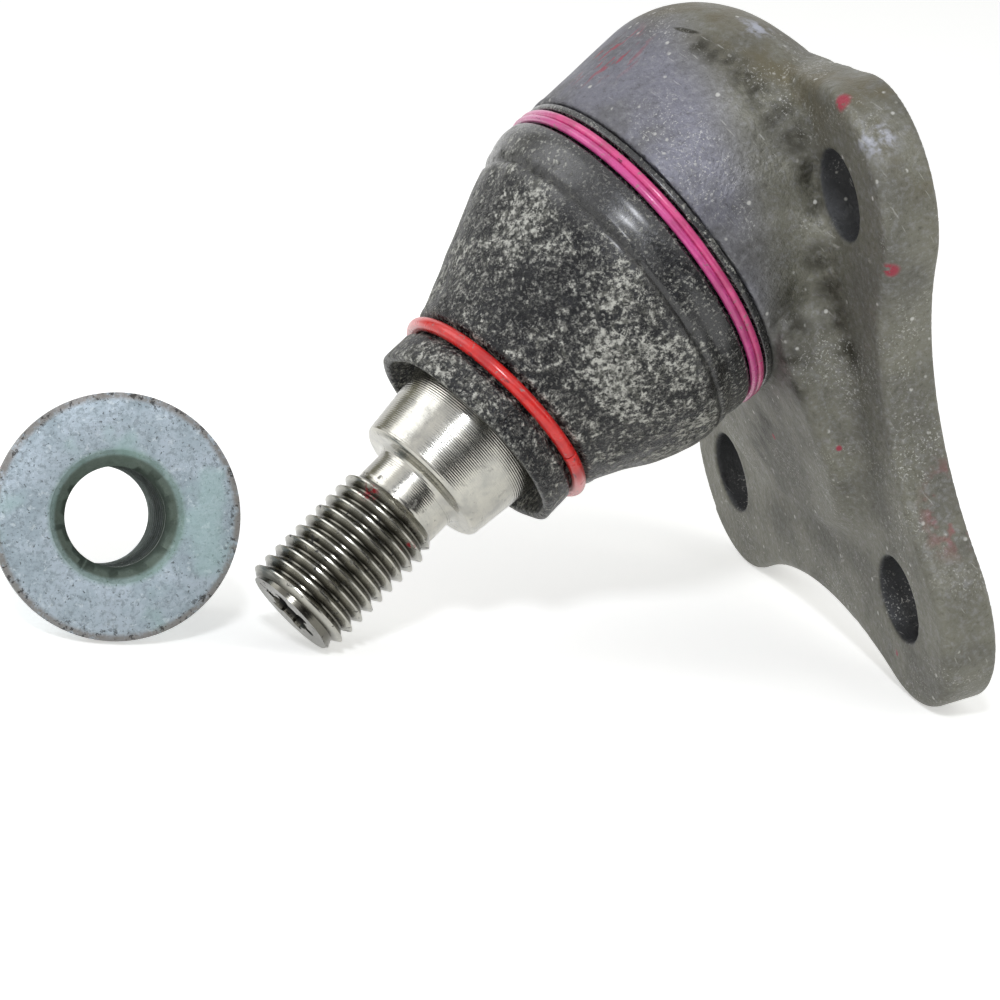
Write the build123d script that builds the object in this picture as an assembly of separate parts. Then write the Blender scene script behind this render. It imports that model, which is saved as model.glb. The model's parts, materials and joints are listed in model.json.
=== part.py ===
from build123d import *
import math
import os

# Suspension ball joint with a bolted four-lobe flange, a rubber boot and a loose flange nut.
# Millimetres.  The joint is modelled in flange axes: X = 0 is the mounting face and +X points out
# of it, Z runs up the flange, -Y is the side the cup is turned to.  At the end it is leaned back
# until it lies on its two lower lobes and on the tip of its stud, with +Z straight up.
# The origin is the centre of the four bolt holes, on the mounting face.

# ------------------------------------------------------------------ flange
PLATE_T = 6.0            # flange thickness
HOLE_SPAN_Y = 49.2       # bolt holes, centre to centre
HOLE_SPAN_Z = 44.8
BOLT_HOLE_D = 9.4
SPOT_FACE_R = 5.7        # clears the cup and its fillet in front of each bolt hole
EAR_R = 11.5             # rounded ear round each bolt hole
EAR_DROP = 0.6           # the lower ears hang this much below their holes
SIDE_WAIST = 7.0         # how far the edge dips between the ears: sides, bottom, top
BOTTOM_WAIST = 5.4
TOP_WAIST = 0.5
FRONT_ROUND = 1.2        # edge roundings of the plate
BACK_ROUND = 0.8

# ------------------------------------------------------------------ cup
BALL_D = 25.0
BALL_AHEAD = 7.1         # ball centre in front of the flange's front face
BALL_UP = 17.75          # ball centre above the middle of the bolt holes
CUP_LEAN = 22.4          # cup axis leaned down from the flange's normal, degrees
CUP_YAW = 9.2            # and turned to -Y
CUP_R = 19.5             # at the shoulder, and wider down to the root by the forging's draft
CUP_DRAFT = 3.0          # degrees
CUP_BACK_H = -17.5       # the cup's rounded back; the flange's mounting face cuts it off
CUP_BACK_ROUND = 11.5
DOME_R = 18.7            # round back left standing behind the mounting face
SHOULDER_H = 6.8         # heights are along the cup's axis, from the ball centre
GROOVE_R = 16.9          # groove that the boot's bead sits in
GROOVE_TOP_H = 11.0
RIM_R = 17.6
RIM_H = 12.3
RIM_ROUND = 0.4
STEP_DRAFT = 0.2         # the groove's sides are this much off square
MOUTH_R = 13.3
MOUTH_FLARE = 0.6
MOUTH_LAND = 1.0         # the mouth flares over this height

# ------------------------------------------------------------------ foot under the cup
FOOT_HALF_W = 20.8
FOOT_BOTTOM_Z = -18.9
FOOT_SHOULDER_Z = 8.0
FOOT_TOP_Z = 26.0
FOOT_NECK_Y = 8.0
FOOT_CORNER_R = 13.0
FOOT_H = 14.0
FOOT_DRAFT = 18.0        # degrees
FOOT_EDGE_RISE = 1.4     # height of the foot at its lower edge
FOOT_SLOPE = 11.5        # its face rises towards the cup, degrees
FOOT_EDGE_ROUND = 2.0
FOOT_BLEND = 3.0         # fillet between foot and plate
CUP_BLEND = 4.0          # fillet between cup and plate
BLEND_INSET = FRONT_ROUND + 0.3

# ------------------------------------------------------------------ bearing shell and closing ring
SHELL_T = 1.59
SHELL_TOP_H = 6.0
SHELL_POLE_R = 4.5       # opening at the shell's back
SLOT_W = 1.2
SLOT_DEPTH = 9.0
SLOT_COUNT = 4
RUNNING_GAP = 0.06       # ball in its shell
SEAT_GAP = 0.05          # pieces pressed or rolled into the cup
RING_SEAT_STEP = 0.75    # the ring's seat is this much wider than the shell's
CLOSING_RING_T = 2.95
RING_CHAMFER = 1.2
RING_BACK_R = 11.25      # the ring's inside, back and front
RING_FRONT_R = 12.0

# ------------------------------------------------------------------ ball stud
STUD_LEAN = 26.85        # the stud as it lies, leaned a little more than the cup
STUD_YAW = 11.25
BALL_FLAT_R = 3.5
NECK_R = 6.2
NECK_ROOT_R = 1.5
NECK_END = 15.0          # lengths are along the stud, from the ball centre
SEAT_START = 20.5
BOOT_SEAT_R = 9.0
TAPER_START = 32.4
SHANK_END = 43.2
SHANK_END_R = 7.78
SHANK_CHAMFER = 0.9
RELIEF_R = 5.1
THREAD_START = 47.4
THREAD_R = 5.93          # outside of an M12 x 1.5 thread
THREAD_CHAMFER = 0.48
RELIEF_RUN_OUT = 0.8
STUD_END = 62.6
LOBE_KEY_R = 2.45        # six-lobe key socket in the tip
LOBE_KEY_BULB_R = 0.7
LOBE_KEY_BULB_AT = 2.75
LOBE_KEY_DEPTH = 5.0

# ------------------------------------------------------------------ boot and its rings
SOFT_GAP = 0.3           # rubber clear of steel
BOOT_WALL = 1.7
BEAD_LIP_R = 19.2
BEAD_LIP_H = 7.8
LARGE_VALLEY_R = 18.3
LARGE_VALLEY_TOP_H = 10.2
BULGE_R = 19.3
BULGE_ROUND = 0.5
BULGE_TOP_H = 11.6
BODY_START_H = 12.7      # the bellows, from the bead to the collar
BODY_START_R = 19.0
SAG_HEADING = -60.0      # the bellows sag to this side, degrees round the axis
BELLOWS = (              # height, radius, sag
    (14.7, 18.8, 0.6),
    (17.3, 18.15, 0.95),
    (19.9, 17.1, 1.0),
    (22.7, 15.9, 0.85),
    (25.7, 14.4, 0.55),
)
BODY_END = 29.1
BODY_END_R = 12.9
SMALL_VALLEY_R = 11.0
LIP_R = 12.1             # flared lip round the shank
LIP_END = 36.2
LIP_HOLLOW_R = 11.3
LIP_HOLLOW_TAPER = 1.2
LIP_WAIST_R = 11.8
VALLEY_ROUND = 0.4       # how the collar's outline runs in and out of the ring's valley
LARGE_WIRE_D = 0.9       # spring ring of two turns
LARGE_WIRE_PITCH = 0.84
LARGE_RING_H = 9.0
SMALL_WIRE_D = 1.5
SMALL_RING_AT = 31.5

# ------------------------------------------------------------------ flange nut, lying beside the joint
NUT_FLANGE_D = 25.5
NUT_RIM_T = 1.8
NUT_ACROSS_FLATS = 18.0
NUT_H = 15.4
NUT_CONE_T = 2.2
NUT_BORE_R = 5.19        # inside of an M12 x 1.5 thread
NUT_MOUTH_R = 6.9
NUT_TOP_CHAMFER = 30.0   # degrees
NUT_FLAT_TURN = 30.0     # turns a flat of the hexagon down, degrees
NUT_AT_X = -80.0         # middle of its flange face
NUT_AT_Y = -9.2
NUT_HEADING = -95.2      # where the flange face looks, degrees from +X

# ------------------------------------------------------------------ derived places
HALF_Y = HOLE_SPAN_Y / 2
HALF_Z = HOLE_SPAN_Z / 2
BALL_R = BALL_D / 2
HALF_SPACE = 200.0       # side of a block that stands for everything behind a plane
SHELL_IN_R = BALL_R + RUNNING_GAP
SHELL_OUT_R = SHELL_IN_R + SHELL_T
CAVITY_R = SHELL_OUT_R + SEAT_GAP
RING_SEAT_R = CAVITY_R + RING_SEAT_STEP
RING_R = RING_SEAT_R - SEAT_GAP
RING_BACK_H = SHELL_TOP_H + SEAT_GAP
RING_FRONT_H = RING_BACK_H + CLOSING_RING_T
BALL_CENTRE = Vector(-PLATE_T - BALL_AHEAD, 0, BALL_UP)
BODY_IN_R = RIM_R + SOFT_GAP


def leaned(lean, yaw):
    """Direction out of the flange's front, leaned down and turned to -Y."""
    a = math.radians(lean)
    b = math.radians(yaw)
    return Vector(-math.cos(a) * math.cos(b), -math.sin(b), -math.sin(a) * math.cos(b))


CUP_AXIS = leaned(CUP_LEAN, CUP_YAW)
STUD_AXIS = leaned(STUD_LEAN, STUD_YAW)


def axis_plane(direction, along=0.0):
    """Plane square to an axis through the ball centre, with its X axis kept level-ish."""
    side = Vector(0, 0, 1).cross(direction)
    return Plane(origin=BALL_CENTRE + direction * along, x_dir=side, z_dir=direction)


CUP = axis_plane(CUP_AXIS)
STUD = axis_plane(STUD_AXIS)


# ------------------------------------------------------------------ how the joint lies
def underside(lean_back):
    """Lowest points of a lower ear and of the stud's tip when the joint is leaned back."""
    a = math.radians(lean_back)
    up = Vector(math.sin(a), 0, math.cos(a))
    edge = Vector(FRONT_ROUND - PLATE_T, 0, -HALF_Z - EAR_DROP - EAR_R + FRONT_ROUND)
    tip = BALL_CENTRE + STUD_AXIS * (STUD_END - THREAD_CHAMFER)
    reach = THREAD_R * math.sqrt(1 - STUD_AXIS.dot(up) ** 2)
    return edge.dot(up) - FRONT_ROUND, tip.dot(up) - reach


def resting_lean():
    """Lean at which the ears and the stud's tip are level, by halving."""
    low = 0.0
    high = 45.0
    for _ in range(60):
        middle = (low + high) / 2
        ear, tip = underside(middle)
        if tip > ear:
            low = middle
        else:
            high = middle
    return (low + high) / 2


LEAN_BACK = resting_lean()
FLOOR_Z = underside(LEAN_BACK)[0]
LEANED_BACK = Rot(0, -LEAN_BACK, 0)


# ------------------------------------------------------------------ drawing helpers
def half_space(direction):
    """Block that fills everything on one side of its own origin, along +X or -X."""
    return Pos(direction * HALF_SPACE / 2, 0, 0) * Box(HALF_SPACE, HALF_SPACE, HALF_SPACE)


def turned(plane, *edges):
    """Solid of revolution round a plane's Z axis, from a closed outline in (radius, height)."""
    profile = make_face(Plane.XZ * (Curve() + list(edges)))
    return plane.location * revolve(profile, Axis.Z)


def outline(*points):
    """Closed polyline in (radius, height)."""
    return Polyline(*points, close=True)


def turned_polygon(plane, *points):
    face = make_face(Plane.XZ * outline(*points))
    return plane.location * revolve(face, Axis.Z)


def waist(half_span, inset):
    """Hollow arc between two ears: where it touches an ear, and its middle."""
    middle = EAR_R - inset
    arc_r = (half_span ** 2 + middle ** 2 - EAR_R ** 2) / (2 * inset)
    share = EAR_R / (EAR_R + arc_r)
    return half_span * (1 - share), (middle + arc_r) * share, middle


# ------------------------------------------------------------------ housing
def plate_outline():
    """Four ears joined by hollow arcs, drawn in (Y, Z), anticlockwise from the lower +Y ear."""
    low = -HALF_Z - EAR_DROP
    ears = [Vector(HALF_Y, low), Vector(HALF_Y, HALF_Z), Vector(-HALF_Y, HALF_Z), Vector(-HALF_Y, low)]
    dips = []
    for index, inset in enumerate((SIDE_WAIST, TOP_WAIST, SIDE_WAIST, BOTTOM_WAIST)):
        ear = ears[index]
        following = ears[(index + 1) % 4]
        along = (following - ear).normalized()
        out = Vector(along.Y, -along.X)
        centre = (ear + following) / 2
        touch_u, touch_v, middle = waist((following - ear).length / 2, inset)
        dips.append((centre - along * touch_u + out * touch_v, centre + out * middle,
                     centre + along * touch_u + out * touch_v))
    edges = []
    for index, (start, middle, end) in enumerate(dips):
        ear = ears[(index + 1) % 4]
        crown = ear + ear.normalized() * EAR_R
        edges.append(ThreePointArc(start, middle, end))
        edges.append(ThreePointArc(end, crown, dips[(index + 1) % 4][0]))
    return edges


def in_front_face(edge):
    """True for an edge that lies in the plate's front face."""
    box = edge.bounding_box()
    return max(abs(box.min.X + PLATE_T), abs(box.max.X + PLATE_T)) < 0.01


def plate():
    face = make_face(Curve() + plate_outline())
    body = extrude(Plane.YZ * Pos(0, 0, -PLATE_T) * face, PLATE_T)
    body = fillet(body.faces().sort_by(Axis.X)[0].outer_wire().edges(), FRONT_ROUND)
    return fillet(body.faces().sort_by(Axis.X)[-1].outer_wire().edges(), BACK_ROUND)


def foot_outline():
    """Shield drawn in (Y, Z): round lower corners, straight sides, shoulders that run in under the cup."""
    corner_z = FOOT_BOTTOM_Z + FOOT_CORNER_R
    corner_y = FOOT_HALF_W - FOOT_CORNER_R
    round_off = FOOT_CORNER_R * math.sqrt(0.5)
    edges = [Line((corner_y, FOOT_BOTTOM_Z), (-corner_y, FOOT_BOTTOM_Z)),
             Line((FOOT_NECK_Y, FOOT_TOP_Z), (-FOOT_NECK_Y, FOOT_TOP_Z))]
    for side in (-1, 1):
        low = (side * corner_y, FOOT_BOTTOM_Z)
        turn = (side * (corner_y + round_off), corner_z - round_off)
        flank = (side * FOOT_HALF_W, corner_z)
        shoulder = (side * FOOT_HALF_W, FOOT_SHOULDER_Z)
        edges += [ThreePointArc(low, turn, flank), Line(flank, shoulder),
                  Line(shoulder, (side * FOOT_NECK_Y, FOOT_TOP_Z))]
    return edges


def is_foot_edge(edge):
    """True for the foot's own outline among the edges in the front face."""
    place = edge.center()
    return abs(place.Y) < FOOT_HALF_W + 1 and FOOT_BOTTOM_Z - 1 < place.Z < FOOT_TOP_Z + 1


def foot():
    """Drafted pad that carries the cup down the plate, with a sloping face and a rounded edge."""
    front = Plane(origin=(-PLATE_T, 0, 0), x_dir=(0, -1, 0), z_dir=(-1, 0, 0))
    pad = extrude(front * make_face(Curve() + foot_outline()), FOOT_H, taper=FOOT_DRAFT)
    lower_edge = Pos(-PLATE_T - FOOT_EDGE_RISE, 0, FOOT_BOTTOM_Z)
    pad = pad & (lower_edge * Rot(0, -FOOT_SLOPE, 0) * half_space(1))
    face = pad.faces().sort_by(Axis.X)[0]
    return fillet(face.outer_wire().edges(), FOOT_EDGE_ROUND)


def cup_profile():
    """Outside of the cup in (radius, height): rounded back, drafted wall, shoulder, groove and rim."""
    draft = math.tan(math.radians(CUP_DRAFT))
    wall_low = CUP_BACK_H + CUP_BACK_ROUND
    root_r = CUP_R + (SHOULDER_H - wall_low) * draft
    corner = (root_r - CUP_BACK_ROUND, wall_low)
    turn = CUP_BACK_ROUND * math.sqrt(0.5)
    back = ThreePointArc((corner[0], CUP_BACK_H), (corner[0] + turn, wall_low - turn), (root_r, wall_low))
    nose = Polyline((root_r, wall_low), (CUP_R, SHOULDER_H), (GROOVE_R, SHOULDER_H + STEP_DRAFT),
                    (GROOVE_R, GROOVE_TOP_H), (RIM_R, GROOVE_TOP_H + STEP_DRAFT), (RIM_R, RIM_H - RIM_ROUND),
                    (RIM_R - RIM_ROUND, RIM_H), (0, RIM_H), (0, CUP_BACK_H), (corner[0], CUP_BACK_H))
    return back, nose


def cup_outside():
    """Cup cut off flush by the mounting face."""
    return turned(CUP, *cup_profile()) & half_space(-1)


def dome():
    """Round back of the cup that stands out of the mounting face."""
    start = BALL_AHEAD + PLATE_T / 2
    start_r = math.sqrt(DOME_R ** 2 - start ** 2)
    halfway = DOME_R * math.cos(math.asin(start_r / DOME_R) / 2)
    cap = ThreePointArc((0, DOME_R), (math.sqrt(DOME_R ** 2 - halfway ** 2), halfway), (start_r, start))
    rest = Polyline((start_r, start), (0, start), (0, DOME_R))
    return turned(Plane(origin=BALL_CENTRE, x_dir=(0, 1, 0), z_dir=(1, 0, 0)), cap, rest)


def root_blend():
    """Fillet between the cup's wall and the plate, trimmed just inside the plate's rounded edge."""
    slab = Pos(-PLATE_T * 0.75, 0, 0) * Box(PLATE_T / 2, HALF_SPACE, HALF_SPACE)
    draft = math.tan(math.radians(CUP_DRAFT))
    wall = turned_polygon(CUP, (0, SHOULDER_H), (CUP_R, SHOULDER_H),
                          (CUP_R + 2 * CUP_R * draft, SHOULDER_H - 2 * CUP_R), (0, SHOULDER_H - 2 * CUP_R))
    rooted = slab + wall
    rings = rooted.edges().filter_by(in_front_face).filter_by(GeomType.LINE, reverse=True)
    rooted = fillet(rings, CUP_BLEND)
    inner = offset(make_face(Curve() + plate_outline()), amount=-BLEND_INSET)
    return rooted & extrude(Plane.YZ * Pos(0, 0, -PLATE_T / 2) * inner, -CUP_R)


def cup_inside():
    """Cavity for the shell, seat for the closing ring, and the rim rolled over the ring."""
    pole = ThreePointArc((0, -CAVITY_R), (CAVITY_R * math.sqrt(0.5), -CAVITY_R * math.sqrt(0.5)),
                         (CAVITY_R, 0))
    roll = RING_CHAMFER + SEAT_GAP
    bore = Polyline((CAVITY_R, 0), (CAVITY_R, SHELL_TOP_H), (RING_SEAT_R, SHELL_TOP_H),
                    (RING_SEAT_R, RING_FRONT_H - RING_CHAMFER + SEAT_GAP),
                    (RING_SEAT_R - roll, RING_FRONT_H + SEAT_GAP), (MOUTH_R, RING_FRONT_H + SEAT_GAP),
                    (MOUTH_R, RIM_H - MOUTH_LAND), (MOUTH_R + MOUTH_FLARE, RIM_H),
                    (MOUTH_R + MOUTH_FLARE, RIM_H + MOUTH_LAND), (0, RIM_H + MOUTH_LAND), (0, -CAVITY_R))
    return turned(CUP, pole, bore)


def bolt_holes():
    """Four drilled holes, each with a spot face that keeps the way in front of it free."""
    drill = Rot(0, 90, 0) * Cylinder(BOLT_HOLE_D / 2, 4 * PLATE_T)
    spot_face = Pos(-PLATE_T - CUP_R, 0, 0) * Rot(0, 90, 0) * Cylinder(SPOT_FACE_R, 2 * CUP_R)
    return [Pos(0, y, z) * (drill + spot_face) for y in (-HALF_Y, HALF_Y) for z in (-HALF_Z, HALF_Z)]


def housing():
    flange = plate() + foot()
    front_edges = flange.edges().filter_by(in_front_face)
    flange = fillet(front_edges.filter_by(is_foot_edge), FOOT_BLEND)
    forging = flange + root_blend() + cup_outside() + dome()
    return forging - cup_inside() - bolt_holes()


# ------------------------------------------------------------------ inside the cup
def bearing_shell():
    """Moulded shell: open at the back, closed in past the ball's middle, split by slots from the front."""
    outer = Sphere(SHELL_OUT_R) + Pos(0, 0, SHELL_TOP_H / 2) * Cylinder(SHELL_OUT_R, SHELL_TOP_H)
    above = Pos(0, 0, SHELL_TOP_H) * Rot(0, -90, 0) * half_space(1)
    shell = outer - above - Sphere(SHELL_IN_R) - Cylinder(SHELL_POLE_R, HALF_SPACE)
    slot = Pos(SHELL_OUT_R / 2, 0, SHELL_TOP_H - SLOT_DEPTH / 2) * Box(2 * SHELL_OUT_R, SLOT_W, SLOT_DEPTH)
    for turn in range(SLOT_COUNT // 2):
        shell -= Rot(0, 0, turn * 360 / SLOT_COUNT) * Pos(-SHELL_OUT_R / 2, 0, 0) * slot
    return CUP.location * shell


def closing_ring():
    """Steel ring over the shell; the cup's rim is rolled down on its outer chamfer."""
    return turned_polygon(CUP, (RING_BACK_R, RING_BACK_H), (RING_R, RING_BACK_H),
                          (RING_R, RING_FRONT_H - RING_CHAMFER), (RING_R - RING_CHAMFER, RING_FRONT_H),
                          (RING_FRONT_R, RING_FRONT_H))


# ------------------------------------------------------------------ ball stud
def key_socket():
    """Six-lobe socket cut into the stud's tip."""
    profile = Circle(LOBE_KEY_R)
    for turn in range(6):
        profile += Rot(0, 0, turn * 60) * Pos(LOBE_KEY_BULB_AT, 0) * Circle(LOBE_KEY_BULB_R)
    return Pos(0, 0, STUD_END - LOBE_KEY_DEPTH) * extrude(profile, 2 * LOBE_KEY_DEPTH)


def ball_stud():
    """Ball, neck, boot seat, taper shank, thread relief and thread, forged and turned in one."""
    flat_z = -math.sqrt(BALL_R ** 2 - BALL_FLAT_R ** 2)
    neck_z = math.sqrt(BALL_R ** 2 - NECK_R ** 2)
    ball = ThreePointArc((BALL_FLAT_R, flat_z), (BALL_R, 0), (NECK_R, neck_z))
    shaft = Polyline((NECK_R, neck_z), (NECK_R, NECK_END), (BOOT_SEAT_R, SEAT_START),
                     (BOOT_SEAT_R, TAPER_START), (SHANK_END_R, SHANK_END), (RELIEF_R, SHANK_END),
                     (RELIEF_R, THREAD_START - RELIEF_RUN_OUT), (THREAD_R, THREAD_START),
                     (THREAD_R, STUD_END - THREAD_CHAMFER), (THREAD_R - THREAD_CHAMFER, STUD_END),
                     (0, STUD_END), (0, flat_z), (BALL_FLAT_R, flat_z))
    stud = revolve(make_face(Plane.XZ * (Curve() + [ball, shaft])), Axis.Z)
    root = stud.edges().filter_by(GeomType.CIRCLE).sort_by(lambda e: abs(e.center().Z - neck_z))[0]
    stud = fillet(root, NECK_ROOT_R)
    rings = stud.edges().filter_by(GeomType.CIRCLE).filter_by(lambda e: abs(e.center().Z - SHANK_END) < 0.01)
    stud = chamfer(rings.sort_by(lambda e: e.radius)[-1], SHANK_CHAMFER)
    return STUD.location * (stud - key_socket())


# ------------------------------------------------------------------ boot
def boot_bead():
    """Bead that sits in the cup's groove, under the large ring, and reaches over the rim."""
    bead_in = GROOVE_R + SOFT_GAP
    bead_low = SHOULDER_H + STEP_DRAFT + SOFT_GAP
    bead_high = GROOVE_TOP_H - SOFT_GAP
    return turned_polygon(CUP, (bead_in, bead_low), (BEAD_LIP_R, bead_low), (BEAD_LIP_R, BEAD_LIP_H),
                          (LARGE_VALLEY_R, BEAD_LIP_H), (LARGE_VALLEY_R, LARGE_VALLEY_TOP_H),
                          (BULGE_R - BULGE_ROUND, LARGE_VALLEY_TOP_H), (BULGE_R, LARGE_VALLEY_TOP_H + BULGE_ROUND),
                          (BULGE_R, BULGE_TOP_H), (BODY_START_R, BODY_START_H),
                          (BODY_IN_R, BODY_START_H), (BODY_IN_R, bead_high), (bead_in, bead_high))


def boot_collar():
    """Collar on the stud's boot seat, with the small ring's valley and a flared lip."""
    valley_low = SMALL_RING_AT - SMALL_WIRE_D / 2 - SOFT_GAP
    valley_high = SMALL_RING_AT + SMALL_WIRE_D / 2 + SOFT_GAP
    bore = BOOT_SEAT_R + SOFT_GAP
    body_in = BODY_END_R - BOOT_WALL
    return turned_polygon(STUD, (body_in, BODY_END), (BODY_END_R, BODY_END),
                          (BODY_END_R - VALLEY_ROUND, valley_low - VALLEY_ROUND),
                          (SMALL_VALLEY_R, valley_low), (SMALL_VALLEY_R, valley_high),
                          (LIP_WAIST_R, valley_high + VALLEY_ROUND), (LIP_R, LIP_END), (LIP_HOLLOW_R, LIP_END),
                          (bore + LIP_HOLLOW_TAPER, valley_high + 2 * VALLEY_ROUND), (bore, valley_high),
                          (bore, valley_low))


def bellows_skin(stations):
    """Loft through rings that swing from the cup's axis round to the stud's, and sag to one side."""
    rings = []
    for along, radius, sag in stations:
        share = (along - BODY_START_H) / (BODY_END - BODY_START_H)
        direction = (CUP_AXIS * (1 - share) + STUD_AXIS * share).normalized()
        rings.append(axis_plane(direction, along) * Rot(0, 0, SAG_HEADING) * Pos(sag, 0) * Circle(radius))
    return loft(rings)


def sealing_boot():
    outside = ((BODY_START_H, BODY_START_R, 0),) + BELLOWS + ((BODY_END, BODY_END_R, 0),)
    inside = [(along, radius - BOOT_WALL, sag) for along, radius, sag in BELLOWS]
    inside = [(BODY_START_H, BODY_IN_R, 0)] + inside + [(BODY_END, BODY_END_R - BOOT_WALL, 0)]
    bellows = bellows_skin(outside) - bellows_skin(inside)
    return boot_bead() + bellows + boot_collar()


def boot_ring_large():
    """Spring ring of two turns of wire, side by side."""
    centre_r = LARGE_VALLEY_R + SOFT_GAP + LARGE_WIRE_D / 2
    turns = [Pos(centre_r, LARGE_RING_H + side * LARGE_WIRE_PITCH / 2) * Circle(LARGE_WIRE_D / 2)
             for side in (-1, 1)]
    return CUP.location * revolve(Plane.XZ * (turns[0] + turns[1]), Axis.Z)


def boot_ring_small():
    centre_r = SMALL_VALLEY_R + SOFT_GAP + SMALL_WIRE_D / 2
    return axis_plane(STUD_AXIS, SMALL_RING_AT).location * Torus(centre_r, SMALL_WIRE_D / 2)


# ------------------------------------------------------------------ flange nut
def nut_tilt():
    """The nut lies on a flat of its hexagon and on its flange's edge; its axis points up by this."""
    drop = NUT_FLANGE_D / 2 - NUT_ACROSS_FLATS / 2
    return math.degrees(math.atan2(drop, NUT_H - NUT_RIM_T))


def flange_nut():
    """Drawn upright with its flange face up at Z = 0, then laid down beside the joint."""
    flats = RegularPolygon(NUT_ACROSS_FLATS / 2, 6, major_radius=False, rotation=NUT_FLAT_TURN)
    hexagon = Pos(0, 0, -NUT_H) * extrude(flats, NUT_H)
    corner_r = NUT_ACROSS_FLATS / math.sqrt(3)
    cut = (corner_r - NUT_ACROSS_FLATS / 2) * math.tan(math.radians(NUT_TOP_CHAMFER))
    top_cone = Plane.XY.location * revolve(make_face(Plane.XZ * outline(
        (0, -NUT_H), (NUT_ACROSS_FLATS / 2, -NUT_H), (corner_r + 1, -NUT_H + cut + 1 / math.sqrt(3)),
        (corner_r + 1, 0), (0, 0))), Axis.Z)
    skirt = revolve(make_face(Plane.XZ * outline(
        (0, 0), (NUT_FLANGE_D / 2, 0), (NUT_FLANGE_D / 2, -NUT_RIM_T),
        (NUT_ACROSS_FLATS / 2, -NUT_RIM_T - NUT_CONE_T), (0, -NUT_RIM_T - NUT_CONE_T))), Axis.Z)
    mouth_depth = NUT_MOUTH_R - NUT_BORE_R
    bore = revolve(make_face(Plane.XZ * outline(
        (0, -NUT_H - 1), (NUT_BORE_R, -NUT_H - 1), (NUT_BORE_R, -mouth_depth), (NUT_MOUTH_R, 0),
        (NUT_MOUTH_R, 1), (0, 1))), Axis.Z)
    nut = (hexagon & top_cone) + skirt - bore
    tilt = nut_tilt()
    rise = NUT_ACROSS_FLATS / 2 * math.cos(math.radians(tilt)) + NUT_H * math.sin(math.radians(tilt))
    lying = Pos(NUT_AT_X, NUT_AT_Y, FLOOR_Z + rise) * Rot(0, 0, NUT_HEADING) * Rot(0, 90 - tilt, 0)
    return lying * nut


# ------------------------------------------------------------------ output
PIECES = {
    "housing_forging": housing,
    "bearing_shell": bearing_shell,
    "closing_ring": closing_ring,
    "ball_stud": ball_stud,
    "sealing_boot": sealing_boot,
    "boot_ring_large": boot_ring_large,
    "boot_ring_small": boot_ring_small,
}

os.makedirs("parts", exist_ok=True)
for name, make in PIECES.items():
    export_step(LEANED_BACK * make(), os.path.join("parts", name + ".step"))
export_step(flange_nut(), os.path.join("parts", "flange_nut.step"))
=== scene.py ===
import json
import math

import bmesh
import bpy
from mathutils import Matrix, Vector, noise


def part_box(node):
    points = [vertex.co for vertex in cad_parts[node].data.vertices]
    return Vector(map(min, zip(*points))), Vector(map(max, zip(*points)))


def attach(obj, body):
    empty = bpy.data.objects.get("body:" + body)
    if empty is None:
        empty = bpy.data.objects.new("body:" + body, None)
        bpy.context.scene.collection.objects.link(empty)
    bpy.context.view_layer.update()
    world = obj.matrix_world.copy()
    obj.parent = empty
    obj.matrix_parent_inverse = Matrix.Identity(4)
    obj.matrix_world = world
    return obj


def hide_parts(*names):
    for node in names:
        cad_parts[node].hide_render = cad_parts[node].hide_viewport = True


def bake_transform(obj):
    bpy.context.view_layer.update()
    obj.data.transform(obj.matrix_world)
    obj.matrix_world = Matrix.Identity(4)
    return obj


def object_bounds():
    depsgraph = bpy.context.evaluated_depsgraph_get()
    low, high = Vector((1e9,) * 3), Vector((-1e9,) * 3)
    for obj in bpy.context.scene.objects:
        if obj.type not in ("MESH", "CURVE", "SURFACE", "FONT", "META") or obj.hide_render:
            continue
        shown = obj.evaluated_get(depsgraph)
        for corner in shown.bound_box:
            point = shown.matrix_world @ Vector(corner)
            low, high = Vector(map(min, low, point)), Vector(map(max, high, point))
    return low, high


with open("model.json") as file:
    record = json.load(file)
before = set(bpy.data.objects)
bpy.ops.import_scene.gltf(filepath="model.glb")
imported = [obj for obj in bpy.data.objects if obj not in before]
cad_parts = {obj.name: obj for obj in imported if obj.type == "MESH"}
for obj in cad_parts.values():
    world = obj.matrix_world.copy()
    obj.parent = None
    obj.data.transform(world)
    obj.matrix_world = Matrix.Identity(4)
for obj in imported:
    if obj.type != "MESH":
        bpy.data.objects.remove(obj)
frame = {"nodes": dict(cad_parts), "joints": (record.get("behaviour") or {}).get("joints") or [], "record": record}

cad_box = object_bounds()

# Suspension ball joint: a forged housing with a four-lobe flange, a turned stud, a rubber boot held
# by two painted spring rings, and a loose flange nut.  Profiles are in millimetres, as
# (radius, height) from the centre of the ball along an axis; everything else is in metres.
MM = 0.001
MERGE = 1e-6
RIM_REACH = 0.02

# ------------------------------------------------------------------ places taken from the frame
JOINTS = {joint["name"]: joint for joint in frame["joints"]}
MOUNTS = {mount["name"]: mount for mount in frame["record"]["mounts"]}
BALL = Vector(JOINTS["stud_spin"]["pos_m"])
STUD_AXIS = Vector(JOINTS["stud_spin"]["axis"]).normalized()
SWING_AXIS = Vector(JOINTS["stud_swing"]["axis"]).normalized()
REST_TILT = -math.radians(sum(JOINTS["stud_swing"]["range_deg"]) / 2)
CUP_AXIS = Matrix.Rotation(-REST_TILT, 3, SWING_AXIS) @ STUD_AXIS
FLANGE_NORMAL = Vector(MOUNTS["mounting_face"]["axis"]).normalized()
FLANGE_UP = Vector((-FLANGE_NORMAL.z, 0, FLANGE_NORMAL.x))
BOLT_HOLES = [Vector(mount["pos_m"]) for name, mount in MOUNTS.items() if name.startswith("bolt_hole")]
NUT_MIDDLE = Vector(MOUNTS["nut_thread"]["pos_m"])
NUT_AXIS = Vector(MOUNTS["nut_thread"]["axis"]).normalized()
NUT_BORE_LENGTH = 13.69
PLATE_T = 6.0 * MM
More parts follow.
